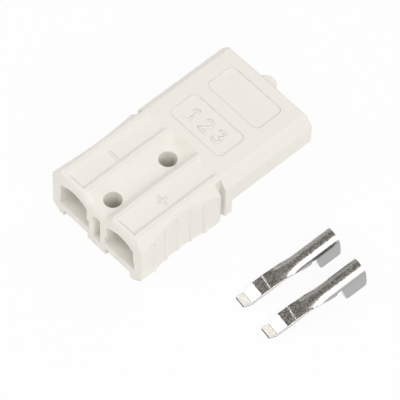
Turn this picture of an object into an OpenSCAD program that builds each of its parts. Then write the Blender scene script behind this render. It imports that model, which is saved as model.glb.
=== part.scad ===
// Two-pole genderless power connector: one moulded housing with a leaf spring in each
// pole, and its two stamped crimp contacts lying ready beside it.
// Frame, in millimetres: X across the two poles, Y from the mating face (y = 0) back to
// the wire side, Z up. The origin is on the table, in the middle of the mating face.

/* [Housing] */
// Length from mating face to wire face, without the rear tab
body_l = 58; // [56:0.5:66]
// Width over the sides
body_w = 33.4; // [33:0.1:36]
// Height from feet to the flat top
body_h = 17.5; // [17.2:0.1:19]
// Width of the long bevel along each top edge
top_bevel_w = 2.7; // [2:0.1:3]
// Height of the long bevel along each top edge
top_bevel_h = 3.2; // [2.5:0.1:3.6]
// Width of the bevel under each side of the nose
foot_bevel_w = 3.2; // [2.5:0.1:3.4]
// Height of the bevel under each side of the nose
foot_bevel_h = 2.6; // [2:0.1:3]
// Radius of the lead-in along the top of the mating face
front_round = 1.7; // [1:0.1:2]
// Radius of the edges between the flat top and the long bevels
top_edge_r = 1; // [0.3:0.1:1.5]
// Radius of the bevels' lower edges and of the flanges' edges
side_edge_r = 0.6; // [0.2:0.1:0.8]
// Radius of the upright corners and of the edges of the wire face
corner_r = 0.3; // [0.1:0.1:0.8]
// Radius of the low edge under the side faces and finger grips
low_edge_r = 1.5; // [0.5:0.1:2]

/* [Rear body] */
// Width of the flat bottom of the rear body
keel_w = 23.8; // [23:0.1:27]
// Height of the lower edge of the rear body's side faces
side_low = 8.6; // [8:0.1:10]
// Length of the two shallow label panels, across the body
label_w = 19; // [14:0.5:22]
// Width of the label panels, along the body
label_l = 9.2; // [6:0.1:9.5]
// Depth of the label panels
label_depth = 0.4; // [0.2:0.1:0.8]
// Corner radius of the label panels
label_round = 1.6; // [0.8:0.1:2.4]
// Distance from the mating face to the front label panel
label_y = 32.65; // [32:0.05:33.5]
// Distance between the front edges of the two label panels
label_pitch = 12.8; // [11.5:0.1:13.5]
// Radius of the tab in the middle of the wire face
tab_r = 3; // [2:0.1:4]
// How far the tab stands out of the wire face
tab_out = 2.2; // [1:0.1:2.6]
// Thickness of the tab
tab_t = 2.6; // [1.5:0.1:4]
// How far the tab's top lies below the flat top
tab_drop = 1.2; // [0.4:0.1:2]

/* [Finger grips] */
// Length of the nose with the finger grips
nose_l = 26.7; // [26:0.1:27]
// Width of the open gap behind each grip
gap_l = 1.8; // [1:0.1:2]
// Depth of the gap, from the side inwards
gap_depth = 2.4; // [1:0.1:2.6]
// Thickness of the upright flange behind the gap
flange_t = 2.1; // [1.5:0.1:2.2]
// Height of the flange's lower end
flange_low = 3.1; // [2.6:0.1:6]
// Radius of the hollow in each grip
scoop_r = 46; // [42:1:60]
// Depth of the hollow at the foot of the side face
scoop_depth = 1.14; // [0.8:0.02:1.4]
// Lean of the hollow, inwards towards the top
scoop_lean = 2.4; // [1.5:0.1:3]
// Number of ribs on each grip
rib_count = 5; // [3:1:6]
// Distance between ribs
rib_pitch = 4.25; // [3:0.05:4.3]
// Radius of the half-round ribs
rib_r = 0.4; // [0.25:0.05:0.5]

/* [Poles] */
// Distance between the middles of the two poles
pole_pitch = 17.3; // [17:0.1:17.6]
// Width of each mating window
window_w = 9.7; // [9:0.1:10]
// Height of the window floor
window_floor = 4.6; // [4.2:0.1:5]
// Height at which the window's sides turn into its arched top
window_side_top = 12; // [11.5:0.1:12.5]
// Rise of the arched top
window_rise = 1.85; // [1:0.05:2.2]
// Depth of the window, from the mating face inwards
window_depth = 16; // [14:0.5:17]
// Height of the guide groove along each side of the window floor
groove_h = 3.1; // [2:0.1:3.6]
// Depth of the guide groove next to the connector's middle
groove_inner = 0.75; // [0.3:0.05:0.9]
// Depth of the guide groove next to the connector's side
groove_outer = 0.35; // [0.2:0.05:0.6]
// Diameter of the wire bores
wire_bore_d = 7.4; // [6.5:0.1:7.6]
// Height of the wire bores' axes
wire_bore_z = 8.6; // [8.4:0.1:9]
// Length of the wire bores, from the wire face inwards
wire_bore_l = 24; // [20:0.5:26]
// Width of the chamber that holds the contact
chamber_w = 5.4; // [5.2:0.1:6]
// Roof height of the underside reliefs in the nose
relief_z = 2.1; // [1.5:0.1:2.3]
// Width of each underside relief
relief_w = 9; // [7:0.1:9.2]
// Distance from a pole's middle to its relief's middle, towards the connector's middle
relief_shift = 0.75; // [0:0.05:1]
// Length of the underside reliefs
relief_l = 22; // [16:0.5:24]

/* [Top of the nose] */
// Depth of the valley between the poles
valley_depth = 2.3; // [1.5:0.1:2.6]
// Width of the valley floor
valley_floor_w = 5.1; // [4.9:0.1:5.4]
// Width of each sloping side of the valley
valley_slope_w = 2.4; // [2:0.1:2.6]
// Distance from the mating face to the back of the valley floor
valley_l = 28; // [27.5:0.1:28.4]
// Length of the ramp behind the valley floor
valley_ramp = 2; // [1:0.1:2.4]
// Width of the long panel let into the top of each pole
panel_w = 6.5; // [5:0.1:6.8]
// Distance from the connector's middle to each panel's inner edge
panel_x = 6.1; // [5.8:0.1:6.6]
// Depth of the panels
panel_depth = 0.9; // [0.4:0.1:1]
// Distance from the mating face to the panels' front edge
panel_front = 1.05; // [0.8:0.05:2]
// Distance from the mating face to the panels' back edge
panel_back = 29.3; // [28.6:0.1:29.8]

/* [Middle] */
// Diameter of the two bolt holes
bolt_d = 4.85; // [4.2:0.05:4.9]
// Distance from the mating face to the front bolt hole
bolt_y = 5.45; // [5.2:0.05:5.8]
// Distance between the two bolt holes
bolt_spacing = 18.5; // [18:0.05:19]
// Width of the slot in the middle of the mating face
slot_w = 2.4; // [1.5:0.1:2.6]
// Depth of the slot
slot_depth = 2.2; // [1:0.1:2.3]
// Height of the slot's floor
slot_floor = 3; // [2.6:0.1:4]
// Height of the slot's roof
slot_roof = 12.1; // [10:0.1:12.6]

/* [Contacts] */
// Thickness of the contact strip
strip_t = 1; // [0.8:0.05:1.1]
// Width of the contact blade
blade_w = 4.6; // [4:0.1:4.7]
// Length of the contact along its own axis, from the hook's bend to the rear end
contact_l = 27; // [26:0.1:30]
// Distance from the hook's bend to where the blade turns level
nose_bevel = 3; // [2.5:0.05:4]
// Drop of the contact's nose at the hook's bend
nose_drop = 0.75; // [0.3:0.05:0.9]
// Length of the upturned hook
hook_l = 2.2; // [1.8:0.05:3]
// Rise angle of the upturned hook
hook_angle = 31; // [20:1:40]
// Width of the contact at the hook's bend
hook_w = 3.8; // [3:0.1:4]
// Width of the hook's end
hook_end_w = 3.4; // [2.6:0.1:3.6]
// Where the flat blade has become the round barrel
barrel_start = 10.85; // [10:0.05:12]
// Angle at which the blade's sides bend down into the barrel
forming_angle = 45; // [35:1:50]
// Outer diameter of the barrel
barrel_d = 5; // [4.8:0.1:5.2]
// Where the barrel's side edges start to drop below the blade
neck_start = 7; // [6.6:0.1:9]
// Where the neck reaches its full depth
neck_full = 15.3; // [14.5:0.1:16]
// Depth of the neck's side edges below the blade
neck_depth = 1.45; // [1.1:0.05:1.5]
// Distance from the wings back to the end of the neck
waist_l = 1.8; // [1.2:0.1:2.4]
// Depth of the waist in front of the wings
waist_depth = 0.85; // [0.5:0.05:1]
// Where the crimp wings start
wing_start = 19.5; // [19:0.1:20]
// Length of the crimp wings' lower edge
wing_l = 6.2; // [5:0.1:6.4]
// Slant of the wings' rear edge
wing_slant = 1; // [0.6:0.1:1.2]
// Height of the crimp wings below the blade
wing_h = 6.8; // [6:0.1:7.5]
// Radius of the crimp wings' corners
wing_round = 1; // [0.5:0.1:1.5]
// Turn of the loose contacts away from the housing's long axis
lay_turn = -8.25; // [-15:0.05:0]
// Gap between the housing's side and the first loose contact's hook
lay_gap = 20.45; // [18:0.05:40]
// Place of the first loose contact's hook, along the housing
lay_y = 17.2; // [0:0.1:30]
// Step to the second loose contact, across the housing
lay_step_x = 10.95; // [9:0.05:20]
// Step to the second loose contact, along the housing
lay_step_y = -1.55; // [-5:0.05:5]

/* [Leaf springs] */
// Thickness of the leaf springs
spring_t = 0.4; // [0.3:0.05:0.5]
// Width of the leaf springs
spring_w = 4.2; // [3.5:0.1:4.4]
// Length of the flat root that is held in the floor
spring_root = 8; // [6:0.5:10]
// Length of the free, rising leaf in front of the root
spring_leaf = 10; // [8:0.5:12]
// Rise of the leaf's crest above its root
spring_rise = 1.3; // [0.6:0.1:1.8]

/* [Hidden] */
$fn = 64;

ivory = [0.93, 0.92, 0.88];
tin = [0.78, 0.79, 0.80];
spring_steel = [0.62, 0.63, 0.64];

cut = 1;                                    // how far cutters reach past a surface
half_w = body_w / 2;
bevel_x = half_w - top_bevel_w;             // where the flat top ends
bevel_z = body_h - top_bevel_h;             // top of the upright side faces
flange_y = nose_l + gap_l;
rear_y = flange_y + flange_t;
core_x = half_w - gap_depth;                // side of the body inside the gaps
foot_x = half_w - foot_bevel_w;             // where the flat foot of the nose ends
pole_x = pole_pitch / 2;
chamber_y = body_l - wire_bore_l;
valley_z = body_h - valley_depth;
valley_foot = valley_floor_w / 2;
valley_top = valley_foot + valley_slope_w;
scoop_y = (nose_l + 0.7) / 2;
scoop_x = half_w - scoop_depth;             // deepest line of the hollow, at its foot
panel_slope = panel_depth + 0.05;           // width of the panels' sloping walls
spring_y = chamber_y - spring_root;         // front of the springs' flat roots
spring_pocket = spring_t + 0.1;             // depth of the pocket in the floor
corner_steps = 5;                           // facets of each small rounded edge

// Runs a flat (x, z) shape along Y, from y0 to y1.
module along_y(y0, y1) {
    translate([0, y1, 0]) rotate([90, 0, 0]) linear_extrude(y1 - y0) children();
}

// Runs a flat (y, z) shape along X, from x0 to x1.
module along_x(x0, x1) {
    translate([x0, 0, 0]) rotate([90, 0, 90]) linear_extrude(x1 - x0) children();
}

module both_sides() {
    children();
    mirror([1, 0, 0]) children();
}

// Outline through points [x, y, radius], with each corner rounded by its radius.
function rounded(outline) = let (n = len(outline)) [
    for (i = [0 : n - 1])
        each rounded_corner(outline[(i + n - 1) % n], outline[i], outline[(i + 1) % n])
];

function flat(p) = [p[0], p[1]];

function rounded_corner(before, corner, after) =
    let (p = flat(corner), r = corner[2], u = flat(before) - p, v = flat(after) - p,
         to_before = u / norm(u), to_after = v / norm(v),
         half = acos(to_before * to_after) / 2,
         inward = (to_before + to_after) / norm(to_before + to_after),
         middle = p + inward * r / sin(half),
         out = atan2(-inward[1], -inward[0]),
         turn = sign(to_before[0] * to_after[1] - to_before[1] * to_after[0]) * (half - 90))
    r == 0 ? [p] : [
        for (i = [0 : corner_steps])
            let (a = out + turn * (2 * i / corner_steps - 1)) middle + r * [cos(a), sin(a)]
    ];

// A half outline on the +X side, from the middle of the foot up, and its mirror image.
function mirrored(half_outline) = let (n = len(half_outline)) concat(
    half_outline,
    [for (i = [n - 1 : -1 : 0]) let (p = half_outline[i]) [-p[0], p[1], p[2]]]
);

top_half = [[half_w, bevel_z, side_edge_r], [bevel_x, body_h, top_edge_r]];

// Outline of the nose, seen from the front.
module nose_outline() {
    polygon(rounded(mirrored(concat(
        [[foot_x, 0, 0], [half_w, foot_bevel_h, low_edge_r]], top_half))));
}

// Outline of the body behind the nose: a narrow core, and upright flanges beside it.
module flange_outline() {
    core_foot = foot_bevel_h * (core_x - foot_x) / foot_bevel_w;
    polygon(rounded(mirrored(concat(
        [[foot_x, 0, 0], [core_x, core_foot, 0], [core_x, flange_low, 0],
         [half_w, flange_low, side_edge_r]], top_half))));
}

// Outline of the rear body: the same top, and sides drawn in to a narrow keel.
module rear_outline() {
    polygon(rounded(mirrored(concat(
        [[keel_w / 2, 0, 0], [half_w, side_low, low_edge_r]], top_half))));
}

// The body seen from above, with the open gaps behind the grips.
module plan_outline() {
    polygon(rounded(mirrored([
        [half_w, 0, corner_r], [half_w, nose_l, 0], [core_x, nose_l, 0],
        [core_x, flange_y, 0], [half_w, flange_y, side_edge_r], [half_w, body_l, corner_r]
    ])));
}

// The body seen from the side, with its rear edges rounded.
module side_outline() {
    polygon(rounded([
        [0, 0, 0], [body_l, 0, corner_r], [body_l, body_h, corner_r], [0, body_h, 0]
    ]));
}

module body_blank() {
    intersection() {
        union() {
            along_y(0, nose_l) nose_outline();
            along_y(nose_l, rear_y) flange_outline();
            along_y(rear_y, body_l) rear_outline();
        }
        linear_extrude(body_h) plan_outline();
        along_x(-half_w, half_w) side_outline();
    }
    rear_tab();
}

// Half-round tab in the middle of the wire face.
module rear_tab() {
    translate([0, body_l + tab_out - tab_r, body_h - tab_drop - tab_t])
        cylinder(r = tab_r, h = tab_t);
}

// Finger grips: a leaning hollow in each side, with upright half-round ribs in it.
module at_scoop(y) {
    sag = pow(y - scoop_y, 2) / (2 * scoop_r);
    translate([scoop_x + sag, y, foot_bevel_h]) rotate([0, -scoop_lean, 0]) children();
}

// The hollow flares out below the grip, so that the bevel under the grip follows it.
module grip_hollows() {
    flare_drop = 0.4;
    flare_z = foot_bevel_h - flare_drop;
    flare = (flare_z + cut) * foot_bevel_w / foot_bevel_h;
    both_sides() at_scoop(scoop_y) translate([scoop_r, 0, -foot_bevel_h])
        rotate_extrude($fn = 128) polygon(rounded([
            [0, -cut, 0], [scoop_r + flare, -cut, 0], [scoop_r, flare_z, low_edge_r],
            [scoop_r, body_h + cut, 0], [0, body_h + cut, 0]
        ]));
}

// Height at which the hollow runs out into the top bevel, at a place y along the grip.
function hollow_top(y) =
    let (slope = top_bevel_w / top_bevel_h, lean = tan(scoop_lean),
         x = scoop_x + pow(y - scoop_y, 2) / (2 * scoop_r))
    (half_w + slope * bevel_z - x - lean * foot_bevel_h) / (slope - lean);

module grip_ribs() {
    rib_clear = 1.5;
    rib_shift = 0.4;
    both_sides() for (i = [0 : rib_count - 1]) {
        y = scoop_y - rib_shift + (i - (rib_count - 1) / 2) * rib_pitch;
        at_scoop(y) cylinder(r = rib_r, h = hollow_top(y) - rib_clear - foot_bevel_h, $fn = 24);
    }
}

// All that lies above a surface running back from the mating face, with the rounded
// lead-in along its front edge: (y, z) shape with that edge at the origin.
module above_rounded() {
    difference() {
        translate([-cut, -front_round]) square([body_l + 2 * cut, front_round + body_h]);
        translate([front_round, -front_round]) {
            circle(front_round);
            square([body_l + 2 * cut, front_round]);
        }
    }
}

// Turns that shape to a surface through (x, z) that climbs at an angle towards +X.
module above_surface(x, z, angle) {
    translate([x, 0, z]) rotate([0, -angle, 0]) along_x(-body_w, body_w) above_rounded();
}

module top_lead_in() {
    intersection() {
        above_surface(0, body_h, 0);
        translate([-body_w, -2 * cut, 0]) cube([2 * body_w, 2 * cut + front_round, 2 * body_h]);
    }
}

// Valley between the poles, with sloping sides and a ramp at its back.
module valley() {
    climb = atan2(valley_depth, valley_slope_w);
    intersection() {
        above_surface(valley_foot, valley_z, climb);
        above_surface(0, valley_z, 0);
        above_surface(-valley_foot, valley_z, -climb);
        along_x(-body_w, body_w) polygon([
            [-cut, 0], [valley_l, 0], [valley_l, valley_z],
            [valley_l + valley_ramp * (1 + cut / valley_depth), body_h + cut],
            [-cut, body_h + cut]
        ]);
    }
}

// Long panel let into the top of each pole, with walls that slope at about 45 degrees.
module pole_panels() {
    over = cut * panel_slope / panel_depth;
    floor_z = body_h - panel_depth;
    both_sides() intersection() {
        along_y(0, body_l) polygon([
            [panel_x - over, body_h + cut], [panel_x + panel_slope, floor_z],
            [panel_x + panel_w - panel_slope, floor_z], [panel_x + panel_w + over, body_h + cut]
        ]);
        along_x(0, half_w) polygon([
            [panel_front - over, body_h + cut], [panel_front + panel_slope, floor_z],
            [panel_back - panel_slope, floor_z], [panel_back + over, body_h + cut]
        ]);
    }
}

// Two shallow, round-cornered label panels on the rear body.
module label_panels() {
    side_x = label_w / 2 - label_round;
    for (y = [label_y, label_y + label_pitch])
        translate([0, y, body_h - label_depth]) linear_extrude(label_depth + cut) {
            translate([-side_x, 0]) square([2 * side_x, label_l]);
            translate([-label_w / 2, label_round]) square([label_w, label_l - 2 * label_round]);
            for (x = [-side_x, side_x], v = [label_round, label_l - label_round])
                translate([x, v]) circle(label_round);
        }
}

// Mating window seen from the front: square-shouldered sides under an arched top, and a
// wider guide groove just above the floor.
module window_outline() {
    half = window_w / 2;
    arch_r = (pow(half, 2) + pow(window_rise, 2)) / (2 * window_rise);
    intersection() {
        translate([-half, window_floor])
            square([window_w, window_side_top + window_rise + cut - window_floor]);
        translate([0, window_side_top + window_rise - arch_r]) circle(arch_r, $fn = 128);
    }
    translate([-half - groove_inner, window_floor])
        square([window_w + groove_inner + groove_outer, groove_h]);
}

// One pole's passage from mating face to wire face, with its middle at x = 0 and the
// connector's middle on its -X side.
module pole_passage() {
    along_y(-cut, window_depth) window_outline();
    along_y(window_depth - cut, chamber_y)
        translate([-chamber_w / 2, window_floor])
            square([chamber_w, window_side_top - window_floor]);
    translate([0, body_l + cut, wire_bore_z]) rotate([90, 0, 0])
        cylinder(d = wire_bore_d, h = wire_bore_l + 1.5 * cut);
    translate([-spring_w / 2 - 0.1, spring_y - 0.2, window_floor - spring_pocket])
        cube([spring_w + 0.2, spring_root, spring_pocket + cut]);
}

module underside_reliefs() {
    both_sides() translate([pole_x - relief_shift - relief_w / 2, -cut, -cut])
        cube([relief_w, relief_l + cut, relief_z + cut]);
}

module bolt_holes() {
    for (y = [bolt_y, bolt_y + bolt_spacing])
        translate([0, y, -cut]) cylinder(d = bolt_d, h = body_h + 2 * cut);
}

module face_slot() {
    translate([-slot_w / 2, -cut, slot_floor])
        cube([slot_w, slot_depth + cut, slot_roof - slot_floor]);
}

module housing() {
    color(ivory) {
        difference() {
            body_blank();
            grip_hollows();
            valley();
            top_lead_in();
            pole_panels();
            label_panels();
            both_sides() translate([pole_x, 0, 0]) pole_passage();
            underside_reliefs();
            bolt_holes();
            face_slot();
        }
        intersection() {
            grip_ribs();
            translate([-half_w, 0, 0]) cube([body_w, nose_l, body_h]);
        }
    }
}

// A loose contact in its own frame: hook's bend at y = 0, blade level, wings down.
barrel_r = barrel_d / 2;
nose_angle = atan(nose_drop / nose_bevel);
hook_dir = [-cos(hook_angle), sin(hook_angle)];
bend_top = [0, strip_t - nose_drop];
bend_low = bend_top + strip_t / cos((hook_angle + nose_angle) / 2)
    * [-sin((hook_angle - nose_angle) / 2), -cos((hook_angle - nose_angle) / 2)];
hook_tip = bend_top + hook_l * hook_dir;
hook_tip_low = hook_tip - strip_t * [sin(hook_angle), cos(hook_angle)];
level_low = nose_bevel + strip_t * tan(nose_angle / 2);
wing_foot = wing_start + wing_l;

// The strip's outer shape seen from the side, as a (y, z) shape: hook, blade, neck,
// waist and crimp wings.
module contact_profile() {
    neck_end = wing_start - waist_l;
    neck_rise = 0.1;
    notch_r = 0.3;
    waist_start = neck_end + neck_depth - waist_depth;
    polygon(rounded([
        [contact_l, strip_t, 0], [nose_bevel, strip_t, 0], [bend_top[0], bend_top[1], 0],
        [hook_tip[0], hook_tip[1], 0], [hook_tip_low[0], hook_tip_low[1], 0],
        [bend_low[0], bend_low[1], 0], [level_low, 0, 0], [neck_start, 0, 0],
        [neck_full, neck_rise - neck_depth, 0], [neck_end, -neck_depth, notch_r],
        [waist_start, -waist_depth, notch_r], [wing_start, -waist_depth, notch_r],
        [wing_start, -wing_h, wing_round], [wing_foot, -wing_h, wing_round],
        [wing_foot + wing_slant, -barrel_r, 0]
    ]));
}

// The strip seen from above: it narrows towards the hook.
module contact_plan() {
    half = blade_w / 2;
    flare_l = 1;
    polygon([
        [-barrel_r, contact_l], [-barrel_r, barrel_start], [-half, barrel_start - flare_l],
        [-half, nose_bevel], [-hook_w / 2, 0], [-hook_end_w / 2, hook_tip_low[0]],
        [hook_end_w / 2, hook_tip_low[0]], [hook_w / 2, 0], [half, nose_bevel],
        [half, barrel_start - flare_l], [barrel_r, barrel_start], [barrel_r, contact_l]
    ]);
}

// A long tunnel along Y with a half-round roof of radius r about the barrel's axis.
module tunnel(r, length) {
    rotate([90, 0, 0]) translate([0, strip_t - barrel_r, -length]) {
        cylinder(r = r, h = 2 * length);
        translate([-r, -contact_l, 0]) cube([2 * r, contact_l, 2 * length]);
    }
}

// Straight barrel, and the same barrel leaning up to meet the flat blade.
module forming(r) {
    tunnel(r, 2 * contact_l);
    translate([0, barrel_start, strip_t]) rotate([-forming_angle, 0, 0])
        translate([0, 0, -strip_t]) tunnel(r, contact_l);
}

module contact() {
    stroke_y = 5.9;
    stroke_w = 0.4;
    stroke_depth = 0.1;
    stroke_turn = -4;
    color(tin) difference() {
        intersection() {
            along_x(-barrel_r, barrel_r) contact_profile();
            translate([0, 0, -wing_h - cut]) linear_extrude(2 * wing_h) contact_plan();
            forming(barrel_r);
        }
        intersection() {
            forming(barrel_r - strip_t);
            translate([-barrel_r, neck_start, -wing_h - cut])
                cube([barrel_d, contact_l, wing_h + cut]);
        }
        translate([-blade_w, stroke_y, strip_t - stroke_depth]) rotate([0, 0, stroke_turn])
            cube([2 * blade_w, stroke_w, stroke_depth + cut]);
    }
}

// The loose contact rests on its hook's bend and on the front corners of its wings.
rest_run = [wing_start + wing_round - bend_low[0], wing_round - wing_h - bend_low[1]];
rest_tilt = asin(wing_round / norm(rest_run)) - atan2(rest_run[1], rest_run[0]);
rest_lift = -(bend_low[0] * sin(rest_tilt) + bend_low[1] * cos(rest_tilt));

module lay_contact(step) {
    translate([half_w + lay_gap + step * lay_step_x, lay_y + step * lay_step_y, rest_lift])
        rotate([0, 0, lay_turn]) rotate([rest_tilt, 0, 0]) contact();
}

module contact_left() { lay_contact(0); }

module contact_right() { lay_contact(1); }

// Leaf spring: a flat root in the floor pocket and a leaf that rises in front of it.
module spring(side) {
    crest = spring_leaf * 0.6;
    low = window_floor - spring_pocket;
    under = [
        [spring_y + spring_root - 0.4, low], [spring_y, low],
        [spring_y - crest, low + spring_rise], [spring_y - spring_leaf, low + spring_pocket]
    ];
    lift = [0, spring_t];
    color(spring_steel) translate([side * pole_x, 0, 0]) along_x(-spring_w / 2, spring_w / 2)
        polygon([for (p = under) p, for (i = [3 : -1 : 0]) under[i] + lift]);
}

module spring_left() { spring(-1); }

module spring_right() { spring(1); }

housing();
contact_left();
contact_right();
spring_left();
spring_right();
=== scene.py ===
# %% [markdown]
# # A two-pole genderless power connector
#
# This lesson dresses a finished construction model. The solid shapes - one moulded
# housing, two stamped crimp contacts and two leaf springs - come in ready and to size.
# What is left to do here is what a catalogue picture shows: the plastic's soft gloss,
# rounded edges, moulded signs, cloudy plating with some painted highlight and shade, and a
# calm studio around it all.

# %% Load the construction model
import math

import bmesh
import bpy
from mathutils import Matrix, Vector


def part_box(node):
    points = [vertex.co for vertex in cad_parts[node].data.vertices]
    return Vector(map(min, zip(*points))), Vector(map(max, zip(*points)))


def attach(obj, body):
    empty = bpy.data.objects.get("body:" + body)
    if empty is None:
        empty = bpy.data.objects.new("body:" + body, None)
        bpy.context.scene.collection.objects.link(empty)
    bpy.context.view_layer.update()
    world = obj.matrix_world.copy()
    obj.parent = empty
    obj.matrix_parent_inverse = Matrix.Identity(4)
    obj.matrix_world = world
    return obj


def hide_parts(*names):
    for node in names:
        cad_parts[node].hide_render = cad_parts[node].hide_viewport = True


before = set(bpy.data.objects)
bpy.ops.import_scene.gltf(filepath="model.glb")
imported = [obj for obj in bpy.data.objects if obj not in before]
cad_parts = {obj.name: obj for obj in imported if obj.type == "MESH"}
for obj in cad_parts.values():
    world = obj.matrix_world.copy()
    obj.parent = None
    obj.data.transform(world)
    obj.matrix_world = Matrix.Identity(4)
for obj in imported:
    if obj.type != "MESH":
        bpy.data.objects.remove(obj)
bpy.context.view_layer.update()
MM = 0.001
MIDDLE = Vector((0.02, 0.03, 0.0))  # of the housing and the contacts together

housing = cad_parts["housing"]
contacts = [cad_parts["contact_left"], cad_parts["contact_right"]]
springs = [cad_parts["spring_left"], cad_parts["spring_right"]]
print("nodes:", sorted(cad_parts))

# %% [markdown]
# ## Camera
#
# A catalogue shot of a small part is taken from far away with a long lens, so that
# parallel edges stay nearly parallel. One could place the camera with a track-to
# constraint, but a view that is known by its turn, its height and its roll is easier to
# repeat when it is written straight into the camera's matrix.

# %% Place the camera
def camera_axes(turn, height, roll):
    """Right, up and view direction for a camera turned from +Y, raised, and rolled."""
    turn, height, roll = (math.radians(a) for a in (turn, height, roll))
    right = Vector((math.cos(turn), math.sin(turn), 0))
    view = Vector((-math.sin(turn) * math.cos(height),
                   math.cos(turn) * math.cos(height), -math.sin(height)))
    up = right.cross(view)
    return (right * math.cos(roll) + up * math.sin(roll),
            up * math.cos(roll) - right * math.sin(roll), view)


right, up, view = camera_axes(turn=45.754, height=55.720, roll=1.968)
lens = bpy.data.cameras.new("long_lens")
lens.lens = 358.02
lens.sensor_width = 36
lens.clip_start = 0.05
camera = bpy.data.objects.new("camera", lens)
camera.matrix_world = Matrix.Translation((0.41369, -0.36729, 0.83270)) @ Matrix(
    (right, up, -view)).transposed().to_4x4()
bpy.context.scene.collection.objects.link(camera)
bpy.context.scene.camera = camera
print("camera looks along", tuple(round(v, 3) for v in view))

# %% [markdown]
# ## A small language for materials
#
# Node trees are easiest to read as sums. The class below wraps one output socket, so
# that `1 - mask` or `fine * 0.3 + coarse` adds the Math nodes it stands for. Everything
# that isn't plain arithmetic on numbers goes through one method, `node`.

# %% Wrap a socket so that Python's operators build nodes
class Value:
    """One output socket of a material's node tree."""

    def __init__(self, tree, socket):
        self.tree, self.socket = tree, socket

    def node(self, kind, settings=None, inputs=None, output=0):
        """Adds a node: its settings first, then its sockets' values or links."""
        made = self.tree.nodes.new(kind)
        for name, setting in (settings or {}).items():
            setattr(made, name, setting)
        for name, given in (inputs or {}).items():
            socket = made.inputs[name]
            if isinstance(given, Value):
                self.tree.links.new(given.socket, socket)
            else:
                socket.default_value = given
        return Value(self.tree, made.outputs[output])

    def maths(self, operation, *terms, clamp=False):
        return self.node("ShaderNodeMath", {"operation": operation, "use_clamp": clamp},
                         dict(enumerate(terms)))

    def __add__(self, other): return self.maths("ADD", self, other)
    def __sub__(self, other): return self.maths("SUBTRACT", self, other)
    def __mul__(self, other): return self.maths("MULTIPLY", self, other)
    def __rsub__(self, other): return self.maths("SUBTRACT", other, self)
    __radd__, __rmul__ = __add__, __mul__

    def clamp(self): return self.maths("ADD", self, 0.0, clamp=True)

    def between(self, low, high):
        """0 below low, 1 above high, and a smooth step from one to the other."""
        return self.node("ShaderNodeMapRange", {"interpolation_type": "SMOOTHSTEP"},
                         {"Value": self, "From Min": low, "From Max": high})


def noise(place, size, detail=2.0, roughness=0.5):
    """Noise whose blotches are about as wide as size, in metres."""
    return place.node("ShaderNodeTexNoise", {"noise_dimensions": "3D"},
                      {"Vector": place, "Scale": 1 / size, "Detail": detail,
                       "Roughness": roughness})


def blend(factor, first, second):
    """A colour between first and second."""
    return factor.node("ShaderNodeMix", {"data_type": "RGBA"},
                       {0: factor, 6: first, 7: second}, output=2)


def new_material(name):
    """An empty material, its Principled shader, and the object's own coordinates."""
    material = bpy.data.materials.new(name)
    material.use_nodes = True
    tree = material.node_tree
    shader = tree.nodes["Principled BSDF"]
    place = Value(tree, tree.nodes.new("ShaderNodeTexCoord").outputs["Object"])
    return material, shader, place


def feed(shader, socket, value):
    value.tree.links.new(value.socket, shader.inputs[socket])


# %% [markdown]
# ## The housing's plastic
#
# The real housing is a warm white engineering plastic with a satin skin. Close up such a
# skin isn't perfect: the steel of the mould leaves a very fine grain, the tone drifts a
# little where the melt cooled at different speeds, and every edge is slightly rounded.
# The edges could be cut with a bevel modifier, but thin slivers in the model's mesh make
# that tear. A Bevel node rounds the shading normal instead and leaves the shape alone.

# %% Make the moulded plastic
def moulded_plastic(name, edge_radius):
    material, shader, place = new_material(name)
    drift = noise(place, 9 * MM)
    grain = noise(place, 0.12 * MM, detail=3)
    tone = blend(drift, (0.895, 0.868, 0.805, 1), (0.91, 0.886, 0.83, 1))
    feed(shader, "Base Color", tone)
    feed(shader, "Roughness", 0.40 + grain * 0.06)
    rounded = place.node("ShaderNodeBevel", {"samples": 8}, {"Radius": edge_radius})
    skin = place.node("ShaderNodeBump", {}, {
        "Strength": 0.06, "Distance": 0.05 * MM, "Height": grain, "Normal": rounded})
    feed(shader, "Normal", skin)
    shader.inputs["IOR"].default_value = 1.46
    return material


plastic = moulded_plastic("satin_white_plastic", 0.35 * MM)
housing.data.materials[0] = plastic
print("plastic on", housing.name)

# %% [markdown]
# ## Moulded marks
#
# A mould maker engraves signs into the steel, and they come out of the mould as low
# ridges with rounded tops. A text object could be turned into a mesh, but its sharp
# walls look printed on. Here each mark is a set of strokes, and a gently swelling ridge
# is swept along every stroke, lower and narrower at its two ends.

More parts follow.
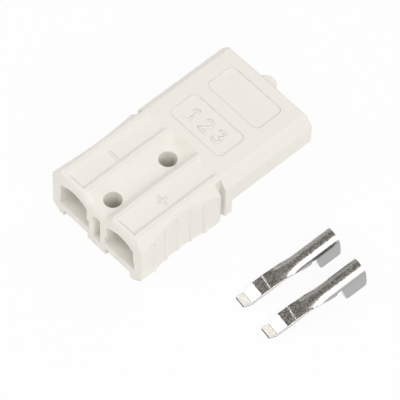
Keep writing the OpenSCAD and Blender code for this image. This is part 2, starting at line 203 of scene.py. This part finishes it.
# %% Sweep a soft ridge along a stroke
def ridge(form, stroke, place, width, height, around=10, sunk=0.01 * MM):
    """Adds one ridge to a bmesh: stroke is a list of flat points, place maps them."""
    points = [Vector(p) for p in stroke]
    runs = []
    for first, last in zip(points, points[1:]):
        parts = max(1, round((last - first).length / (0.35 * width)))
        runs += [first.lerp(last, i / parts) for i in range(parts)]
    runs.append(points[-1])
    start = (runs[1] - runs[0]).normalized()
    end = (runs[-1] - runs[-2]).normalized()
    stations = []
    for turn in (75, 45, 20):
        back, size = math.sin(math.radians(turn)), math.cos(math.radians(turn))
        stations.append((runs[0] - start * back * width / 2, start, size))
    for i, point in enumerate(runs):
        ahead = runs[min(i + 1, len(runs) - 1)] - runs[max(i - 1, 0)]
        stations.append((point, ahead.normalized(), 1.0))
    for turn in (20, 45, 75):
        back, size = math.sin(math.radians(turn)), math.cos(math.radians(turn))
        stations.append((runs[-1] + end * back * width / 2, end, size))
    rings = []
    for point, ahead, size in stations:
        side = Vector((ahead.y, -ahead.x))
        ring = []
        for k in range(around + 1):
            across = 1 - 2 * k / around
            swell = (1 + math.cos(math.pi * across)) / 2
            flat = point + side * (width / 2 * size * across)
            ring.append(form.verts.new(place(flat, height * size * swell - sunk)))
        rings.append(ring)
    for ring, following in zip(rings, rings[1:]):
        for k in range(around):
            form.faces.new((ring[k], ring[k + 1], following[k + 1], following[k]))
        form.faces.new((ring[0], following[0], following[-1], ring[-1]))
    form.faces.new(rings[0][::-1])
    form.faces.new(rings[-1])


def moulded_mark(name, strokes, place, width, height):
    """One object made of ridges, in the housing's plastic."""
    form = bmesh.new()
    for stroke in strokes:
        ridge(form, stroke, place, width, height)
    bmesh.ops.recalc_face_normals(form, faces=form.faces)
    mesh = bpy.data.meshes.new(name)
    form.to_mesh(mesh)
    form.free()
    mesh.polygons.foreach_set("use_smooth", [True] * len(mesh.polygons))
    mesh.materials.append(plastic)
    mark = bpy.data.objects.new(name, mesh)
    bpy.context.scene.collection.objects.link(mark)
    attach(mark, "root")
    print(name, "has", len(mesh.polygons), "faces")
    return mark


# %% Put a minus and a plus on the two poles
def on_level(x, y, z):
    """A place function for marks that lie on a level face, around (x, y, z) in mm."""
    return lambda flat, up: Vector((x * MM + flat.x, y * MM + flat.y, z * MM + up))


POLE_PANEL_Z = 16.6
LABEL_PANEL_Z = 17.1
arm = 1.45 * MM
moulded_mark("minus_sign", [[(-arm, 0), (arm, 0)]],
             on_level(-9.1, 13.9, POLE_PANEL_Z), 0.9 * MM, 0.2 * MM)
moulded_mark("plus_sign", [[(-arm, 0), (arm, 0)], [(0, -arm), (0, arm)]],
             on_level(9.1, 13.8, POLE_PANEL_Z), 0.9 * MM, 0.2 * MM)

# %% [markdown]
# The front label panel of such a housing holds something that its maker chose. Ours gets
# three plain digits, drawn as strokes in a box one unit high, and the rear panel stays
# bare, ready for a label.

# %% Draw three plain digits in the front label panel
def arc(x, y, radius_x, radius_y, first, last, parts=10):
    """Points on an ellipse, from one angle to another in degrees."""
    return [(x + radius_x * math.cos(math.radians(first + (last - first) * i / parts)),
             y + radius_y * math.sin(math.radians(first + (last - first) * i / parts)))
            for i in range(parts + 1)]


DIGITS = {
    1: [[(0.08, 0.76), (0.36, 1.0), (0.36, 0.0)]],
    2: [arc(0.32, 0.70, 0.30, 0.30, 160, -35) + [(0.02, 0.0), (0.64, 0.0)]],
    3: [arc(0.30, 0.745, 0.27, 0.255, 150, -85) + arc(0.30, 0.26, 0.31, 0.26, 85, -150)],
}
digit_height, digit_step = 3.7 * MM, 4.6 * MM
strokes = []
for column, digit in enumerate((1, 2, 3)):
    shift = (column - 1) * digit_step - 0.33 * digit_height
    strokes += [[(x * digit_height + shift, (y - 0.5) * digit_height) for x, y in stroke]
                for stroke in DIGITS[digit]]
moulded_mark("panel_digits", strokes, on_level(0.0, 37.2, LABEL_PANEL_Z),
             1.0 * MM, 0.24 * MM)

# %% [markdown]
# Where the melt entered the mould, a trimmed gate leaves a small oval nub on one side.

# %% Leave the gate nub on the right side face
side_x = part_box("housing")[1][0]
moulded_mark("gate_nub", [[(-0.35 * MM, 0), (0.35 * MM, 0)]],
             lambda flat, up: Vector((side_x + up, 43.3 * MM + flat.x, 11.9 * MM + flat.y)),
             0.9 * MM, 0.35 * MM)

# %% [markdown]
# ## The contacts, drawn again as bent strip
#
# Bright metal shows every flaw of a shape, because it mirrors the room. The construction
# model joins the flat blade to the round barrel by cutting two tunnels into each other,
# which is true to size, but it leaves a crease that a press tool wouldn't. A subdivision
# modifier would soften the crease and every true edge with it. Here a cross-section is
# swept along the strip instead, and it curls up step by step, as in the press.

# %% Describe the strip's cross-section along its length, in millimetres
THICK, BARREL_R, LENGTH = 1.0, 2.5, 27.0
CURL_START, NECK_END = 7.0, 17.7
WING_START, WING_END, WING_H, WING_ROUND = 19.5, 25.7, 6.8, 1.0
WING_FLAT_END = WING_END - 0.55     # where the wing's lower edge turns up to the rear
FLAT_ARC = 1.5                      # share of the flat blade that later becomes the arc


def along_table(y, table):
    """Reads a table of (y, value) rows, with a straight line from row to row."""
    for (y0, v0), (y1, v1) in zip(table, table[1:]):
        if y <= y1:
            return v0 + (v1 - v0) * max(0.0, y - y0) / (y1 - y0)
    return table[-1][1]


# Rows of (place along the strip, value): degrees of curl, height, and half the width.
CURL = [(CURL_START, 0), (9.2, 13), (10.4, 22), (11.2, 31), (12.6, 46), (14.3, 64),
        (15.8, 81), (NECK_END, 88)]
LOWER_EDGE = [(CURL_START, 0.0), (15.3, -1.35), (NECK_END, -1.45)]
WAIST = [(NECK_END, -1.45), (18.25, -0.85), (30.0, -0.85)]
WING_REAR = [(WING_FLAT_END, -WING_H), (25.75, -6.55), (26.05, -5.75), (26.7, -2.5),
             (LENGTH, THICK)]
FLAT_WIDTH = [(-1.9, 1.7), (0.0, 1.9), (3.0, 2.3), (CURL_START, 2.3)]
CURLED_WIDTH = [(3.0, 2.3), (8.6, 2.3), (10.0, 2.36), (11.4, 2.46), (12.6, 2.5)]


def wing_edge(y):
    """Height of the lower edge from the waist on: the wing's front corner is round."""
    if y < WING_START:
        return along_table(y, WAIST)
    if y >= WING_FLAT_END:
        return along_table(y, WING_REAR)
    corner = min(y - WING_START, WING_ROUND)
    return (WING_ROUND - WING_H
            - math.sqrt(max(0.0, WING_ROUND ** 2 - (WING_ROUND - corner) ** 2)))


def section(y):
    """The curl at y: (length of the arc, its angle, length of the straight flank)."""
    if y <= CURL_START:
        return FLAT_ARC, 0.0, along_table(y, FLAT_WIDTH) - FLAT_ARC
    if y <= NECK_END:
        # The radius and the flank follow from how far the edge lies out and down.
        angle = math.radians(along_table(y, CURL))
        s, c = math.sin(angle), math.cos(angle)
        out, drop = along_table(y, CURLED_WIDTH), 1 - along_table(y, LOWER_EDGE) - c
        radius = (out * s - drop * c) / (s * s - c * (1 - c))
        return radius * angle, angle, max(0.0, (out - radius * s) / c)
    height = wing_edge(y) - (THICK - BARREL_R)
    if height <= 0:
        return BARREL_R * math.pi / 2, math.pi / 2, -height
    angle = math.acos(min(1.0, height / BARREL_R))
    return BARREL_R * angle, angle, 0.0


# Stations lie close together wherever the shape changes fast.
steps = [0.2 * i + 3.2 for i in range(20)] + [7.1 + 0.15 * i for i in range(74)]
steps += [18.25, 18.9, WING_START - 0.001, WING_START, WING_START + 0.04]
steps += [WING_START + 0.2 * i * i / 4 for i in range(1, 5)] + [21.5, 23, 24.15]
steps += [24.35, 24.6, 24.8, 25.0, 25.1, 25.15, 25.3, 25.5, 25.75, 25.9, 26.05, 26.3]
steps += [26.5, 26.7, 26.76, 26.82, 26.88, 26.93, 26.97, LENGTH]
print("stations along the level strip:", len(steps))

# %% [markdown]
# The nose and the hook stay flat across, so for them only the centre line matters. Each
# station is the strip's upper centre point and the step from there to its underside. At
# a bend the step leans over little by little, and it stays as long as the strip is thick.

# %% List the stations from the hook's tip to the barrel's end
def bent_station(y, z, lean):
    """A station whose thickness runs at a lean, in degrees from straight down."""
    lean = math.radians(lean)
    return (y, z, -math.sin(lean) * THICK, -math.cos(lean) * THICK)


HOOK_L, HOOK_RISE = 2.2, 31          # length in mm, rise in degrees
NOSE_L, NOSE_DROP, NOSE_FALL = 3.0, 0.75, 14
BEND_Z = THICK - NOSE_DROP           # height of the hook's bend
hook_turn = math.radians(HOOK_RISE)
hook_tip = (-HOOK_L * math.cos(hook_turn), BEND_Z + HOOK_L * math.sin(hook_turn))
stations = []
for share in (0.0, 0.08, 0.3, 0.6, 0.85, 0.95):
    y, z = hook_tip[0] * (1 - share), BEND_Z + (hook_tip[1] - BEND_Z) * (1 - share)
    stations.append(bent_station(y, z, HOOK_RISE))
for y, z, lean in ((-0.05, 0.29, 24), (0.02, 0.275, 8.5), (0.12, 0.29, -8),
                   (0.25, 0.315, -NOSE_FALL)):
    stations.append(bent_station(y, z, lean))
for share in (0.3, 0.6, 0.9):
    stations.append(bent_station(NOSE_L * share, BEND_Z + NOSE_DROP * share, -NOSE_FALL))
for y, z, lean in ((2.9, 0.972, -11), (3.02, 0.992, -6), (3.14, 1.0, 0)):
    stations.append(bent_station(y, z, lean))
stations += [bent_station(y, THICK, 0) for y in steps]
print("hook tip at", tuple(round(v, 2) for v in hook_tip))

# %% [markdown]
# Every point of the mesh keeps a note of where it lies on the strip: its angle off the
# crown, its place along the strip, and how far it has gone over the edge. The plating
# reads the notes, so that its mottle and its painted highlight and shade follow the sheet
# and not the room.

# %% Sweep the section along the stations
EDGE_ROUND = 0.15               # radius of the strip's edges
ROUNDING = (30, 60, 90)         # degrees along that radius
BREAK = ((0.9, 0.55), (1.1, 0.6))   # (note, depth) where the cut turns from bright to dark
STROKE_Y, STROKE_TURN, STROKE_HALF_W, STROKE_DEPTH = 6.12, math.radians(4), 0.24, 0.08
STROKE_X = -4.6                 # the stroke turns about this point beside the blade


def half_section(y):
    """Points (x, z, turn) from the crown to the edge, and the direction ahead there."""
    bow, angle, flank = section(y)
    bend = angle / bow if bow > 1e-6 else 0.0
    inset = min(EDGE_ROUND, 0.4 * (bow + flank))
    points = []
    for i in range(15):
        s = bow * i / 14
        turn = bend * s
        x = math.sin(turn) / bend if turn > 1e-6 else s
        drop = (1 - math.cos(turn)) / bend if turn > 1e-6 else 0.0
        points.append((x, -drop, turn))
    x, z, turn = points[-1]
    ahead = (math.cos(turn), -math.sin(turn))
    reach = max(0.0, flank - inset)
    for share in (0.25, 0.5, 0.75, 0.94, 1.0):
        points.append((x + ahead[0] * reach * share, z + ahead[1] * reach * share, turn))
    return points, inset, ahead


def round_the_edge(points, inset, ahead):
    """Points (x, z, turn, note) over the outer face, the cut and back to the inside."""
    half = [(x, z, turn, 0.0) for x, z, turn in points]
    x, z, turn = points[-1]
    out = (math.sin(turn), math.cos(turn))
    for step in ROUNDING:
        a = math.radians(step)
        forward, inward = inset * math.sin(a), inset * (1 - math.cos(a))
        half.append((x + ahead[0] * forward - out[0] * inward,
                     z + ahead[1] * forward - out[1] * inward, turn, step / 180))
    for note, depth in (*BREAK, (1.5, THICK - inset)):
        half.append((x + ahead[0] * inset - out[0] * depth,
                     z + ahead[1] * inset - out[1] * depth, turn, note))
    for x, z, turn in reversed(points):
        half.append((x - math.sin(turn) * THICK, z - math.cos(turn) * THICK, turn, 2.0))
    return half


def dent(x, y):
    """The light stroke pressed across the blade."""
    off = (y - STROKE_Y) * math.cos(STROKE_TURN) + (x - STROKE_X) * math.sin(STROKE_TURN)
    return -STROKE_DEPTH * max(0.0, 1 - (off / STROKE_HALF_W) ** 2)


def laid_down(corner):
    """The matrix that rests a contact on its hook's bend and its wings' corners."""
    run = (WING_START + WING_ROUND - bend_low[0], WING_ROUND - WING_H - bend_low[1])
    tilt = math.asin(WING_ROUND / math.hypot(*run)) - math.atan2(run[1], run[0])
    lift = -(bend_low[0] * math.sin(tilt) + bend_low[1] * math.cos(tilt))
    return (Matrix.Translation((corner[0] * MM, corner[1] * MM, lift * MM))
            @ Matrix.Rotation(LAY_TURN, 4, "Z") @ Matrix.Rotation(tilt, 4, "X")
            @ Matrix.Scale(MM, 4))


def sweep_strip(name, corner):
    """Builds one contact whose hook bends above corner, a point in millimetres."""
    lay = laid_down(corner)
    form = bmesh.new()
    notes = form.verts.layers.float_vector.new("strip")
    rings = []
    for y, z, step_y, step_z in stations:
        down = Vector((0, step_y, step_z)) / THICK
        half = round_the_edge(*half_section(max(-1.9, y)))
        sides = [(-1, point) for point in half[1:-1][::-1]] + [(1, point) for point in half]
        ring = []
        for side, (x, low, turn, note) in sides:
            place = Vector((x * side, y, z)) - down * low
            if note == 0 and abs(low) < 0.5:
                place.z += dent(x * side, y)
            ring.append(form.verts.new(lay @ place))
            ring[-1][notes] = (turn * side, y, note)
        rings.append(ring)
    for ring, following in zip(rings, rings[1:]):
        for i in range(len(ring)):
            j = (i + 1) % len(ring)
            form.faces.new((ring[i], ring[j], following[j], following[i]))
    for ring in (rings[0], rings[-1]):
        form.faces.new(ring)
    bmesh.ops.remove_doubles(form, verts=form.verts, dist=0.0008 * MM)
    bmesh.ops.recalc_face_normals(form, faces=form.faces)
    mesh = bpy.data.meshes.new(name)
    form.to_mesh(mesh)
    form.free()
    mesh.polygons.foreach_set("use_smooth", [True] * len(mesh.polygons))
    mesh.set_sharp_from_angle(angle=math.radians(34))
    contact = bpy.data.objects.new(name, mesh)
    bpy.context.scene.collection.objects.link(contact)
    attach(contact, "root")
    return contact


nose_turn = math.atan(NOSE_DROP / NOSE_L)
half_lean, half_bend = (hook_turn - nose_turn) / 2, (hook_turn + nose_turn) / 2
bend_low = (-math.sin(half_lean) / math.cos(half_bend),
            BEND_Z - math.cos(half_lean) / math.cos(half_bend))
LAY_TURN = math.radians(-8.25)
HOOK_CORNERS = ((37.15, 17.2), (48.10, 15.65))    # under the two hooks' bends, in mm
strips = []
for cad, corner in zip(contacts, HOOK_CORNERS):
    strip = sweep_strip(cad.name.replace("contact", "strip"), corner)
    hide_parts(cad.name)
    strips.append(strip)
    low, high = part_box(cad.name)
    own = [strip.matrix_world @ v.co for v in strip.data.vertices]
    apart = [max(abs(min(v[k] for v in own) - low[k]),
                 abs(max(v[k] for v in own) - high[k])) for k in range(3)]
    print(strip.name, "differs from the solid's box by, in mm:",
          [round(v / MM, 2) for v in apart])

# %% [markdown]
# ## Plated metal
#
# The contacts are stamped from copper strip with a thin bright plating. The flat top of
# the blade and the barrel's crown get a cloudy mottle whose dark specks are partly painted
# shade, for the dark ceiling that the top mirrors. The hook is painted lighter and warmer,
# a painted reflection. Along a cut edge the upper band is bright, where the punch slid and
# as a painted highlight, and the lower band is dark, where the strip broke and as painted
# shade under the edge.

# %% Make the plated strip
def plated_metal(name):
    """Plated strip that reads its own notes: angle in radians, place in mm, edge."""
    material, shader, place = new_material(name)
    strip = place.node("ShaderNodeAttribute", {"attribute_name": "strip"}, output=1)
    angle, along, over = (
        strip.node("ShaderNodeSeparateXYZ", {}, {0: strip}, output=k) for k in range(3))
    clouds = noise(place, 0.7 * MM, detail=4, roughness=0.65)
    specks = noise(place, 0.22 * MM, detail=3, roughness=0.7)
    # The crown's mottle has a ragged border, and it ends at the nose's bevel. Its dark
    # specks are partly cloudy plating and partly painted shade on the top, which mirrors
    # the dark ceiling.
    ragged = angle + clouds * 0.16 - 0.08
    crown = ragged.between(-0.30, -0.16) * (1 - ragged.between(0.44, 0.56))
    crown = crown * along.between(3.0, 3.3)
    speckle = (clouds * 0.45 + specks * 0.55).between(0.38, 0.62)
    plate = blend(crown, (0.42, 0.42, 0.415, 1),
                  blend(speckle, (0.17, 0.16, 0.15, 1), (0.62, 0.60, 0.57, 1)))
    # The hook is painted lighter and warmer, a painted reflection. The cut is bright above,
    # burnish and painted highlight, and dark below, fracture and painted shade under the
    # edge.
    # painted reflection: the hook alone is painted a light, warm tone
    hook = 1 - along.between(-0.1, 0.05)
    plate = blend(hook, plate, blend(speckle, (0.62, 0.57, 0.50, 1), (0.92, 0.87, 0.78, 1)))
    # burnished shear and painted highlight: the upper band of the cut is painted near white
    cut = over.between(0.25, 0.5) * (1 - over.between(1.45, 1.6))
    # fracture and painted shade: the lower band of the cut, under the edge, is painted near
    # black
    fracture_and_painted_shade = over.between(0.98, 1.04) * (1 - over.between(1.9, 2.0))
    plate = blend(cut, plate, (0.93, 0.93, 0.92, 1))
    plate = blend(fracture_and_painted_shade * 0.9, plate, (0.07, 0.07, 0.07, 1))
    feed(shader, "Base Color", plate)
    feed(shader, "Roughness", 0.20 + crown * 0.08 + fracture_and_painted_shade * 0.2)
    skin = place.node("ShaderNodeBump", {}, {
        "Strength": 0.5, "Distance": 0.05 * MM,
        "Height": specks * (0.3 + crown * 0.7) + clouds * crown})
    feed(shader, "Normal", skin)
    shader.inputs["Metallic"].default_value = 1.0
    return material


def spring_metal(name, edge_radius):
    """Plain spring steel with a faint cloudiness."""
    material, shader, place = new_material(name)
    clouds = noise(place, 0.8 * MM, detail=4)
    rounded = place.node("ShaderNodeBevel", {"samples": 6}, {"Radius": edge_radius})
    feed(shader, "Base Color", blend(clouds, (0.42, 0.42, 0.43, 1), (0.56, 0.56, 0.57, 1)))
    feed(shader, "Normal", rounded)
    shader.inputs["Roughness"].default_value = 0.26
    shader.inputs["Metallic"].default_value = 1.0
    return material


plating = plated_metal("cloudy_plating_and_painted_light")
spring_strip = spring_metal("spring_strip", 0.1 * MM)
for strip in strips:
    strip.data.materials.append(plating)
for spring in springs:
    spring.data.materials[0] = spring_strip
print("metal on", [piece.name for piece in strips + springs])

# %% [markdown]
# ## Studio
#
# A pale floor under a large soft light gives the picture its calm. The floor shows white
# to the camera and to mirror-like metal through Light Path, while for soft light it
# stays a plain pale surface. A small share of it is lit as usual, so a trace of the
# part's shadow stays.

# %% Lay the floor
FLOOR_GAP = 0.02 * MM   # keeps the floor from sharing a plane with the housing's base
FLOOR_WHITE = 0.93


def pale_floor():
    mesh = bpy.data.meshes.new("floor")
    form = bmesh.new()
    bmesh.ops.create_grid(form, x_segments=1, y_segments=1, size=1.5)
    form.to_mesh(mesh)
    form.free()
    floor = bpy.data.objects.new("floor", mesh)
    bpy.context.scene.collection.objects.link(floor)
    floor.location = MIDDLE - Vector((0, 0, FLOOR_GAP))
    material, shader, place = new_material("pale_floor")
    shader.inputs["Base Color"].default_value = (0.92, 0.92, 0.92, 1)
    shader.inputs["Roughness"].default_value = 0.9
    rays = place.tree.nodes.new("ShaderNodeLightPath")
    seen = Value(place.tree, rays.outputs["Is Camera Ray"])
    mirrored = Value(place.tree, rays.outputs["Is Glossy Ray"])
    through = Value(place.tree, rays.outputs["Is Transmission Ray"])
    white = place.node("ShaderNodeEmission", {}, {"Color": (1, 1, 1, 1), "Strength": 1.0})
    share = (seen + mirrored + through) * FLOOR_WHITE
    mixed = place.node("ShaderNodeMixShader", {}, {
        0: share.clamp(), 1: Value(place.tree, shader.outputs[0]), 2: white})
    output = place.tree.nodes["Material Output"]
    place.tree.links.new(mixed.socket, output.inputs["Surface"])
    mesh.materials.append(material)
    return floor


floor = pale_floor()
print("floor is", floor.dimensions[:2], "m")

# %% Hang the lights
def soft_box(name, toward, distance, size, power, colour=(1, 1, 1)):
    """A square lamp that stands in a direction from the part and faces it."""
    lamp = bpy.data.lights.new(name, "AREA")
    lamp.shape, lamp.size, lamp.energy, lamp.color = "SQUARE", size, power, colour
    box = bpy.data.objects.new(name, lamp)
    direction = Vector(toward).normalized()
    box.location = MIDDLE + direction * distance
    box.rotation_euler = direction.to_track_quat("Z", "Y").to_euler()
    bpy.context.scene.collection.objects.link(box)
    return box


soft_box("key", (0.70, -0.26, 0.67), 1.4, 0.9, 7.6, (0.97, 1.0, 1.04))
soft_box("front_fill", (-0.53, -0.50, 0.68), 1.2, 0.5, 3.1)
soft_box("overhead", (-0.10, 0.62, 0.78), 1.3, 1.2, 3.2, (0.95, 1.0, 1.08))

# %% [markdown]
# Bright metal is only as lively as what it mirrors. Photographers stand white cards
# around it, which hardly light the rest. Here the cards are lamps that soft surfaces
# don't see.

# %% Stand reflector cards for the metal
def mirror_card(name, toward, distance, size, brightness, aspect=1.0):
    """A lamp that shows only in reflections, size wide and size times aspect high."""
    card = soft_box(name, toward, distance, size, 0)
    card.data.shape = "RECTANGLE"
    card.data.size_y = size * aspect
    card.data.energy = brightness * math.pi * size * size * aspect
    card.visible_diffuse = False
    return card


mirror_card("right_card", (0.95, -0.10, 0.20), 1.2, 0.9, 1.8)
mirror_card("left_strip", (-0.85, 0.02, 0.53), 1.2, 0.9, 1.2, aspect=0.1)

# %% [markdown]
# The room itself gives the soft base light. Its ceiling is darker on one side, and that
# is what the flat top of each blade mirrors.

# %% Fill the room with soft light
def dot(place, vector, direction):
    """How far a vector reaches along a direction."""
    return place.node("ShaderNodeVectorMath", {"operation": "DOT_PRODUCT"},
                      {0: vector, 1: direction}, output=1)


world = bpy.data.worlds.new("studio_air")
world.use_nodes = True
air = world.node_tree
toward = Value(air, air.nodes.new("ShaderNodeTexCoord").outputs["Generated"])
dark_side = dot(toward, toward, tuple(Vector((-0.55, -0.22, 0.81)).normalized()))
ROOM_LIGHT, ROOM_DARK = (0.52, 0.494, 0.46, 1), (0.26, 0.25, 0.24, 1)
ceiling = blend(dark_side.between(0.75, 0.97), ROOM_LIGHT, ROOM_DARK)
air.links.new(ceiling.socket, air.nodes["Background"].inputs["Color"])
bpy.context.scene.world = world
bpy.context.scene.view_settings.view_transform = "Standard"
print("room light", ROOM_LIGHT[:3], "and, on its dark side,", ROOM_DARK[:3])
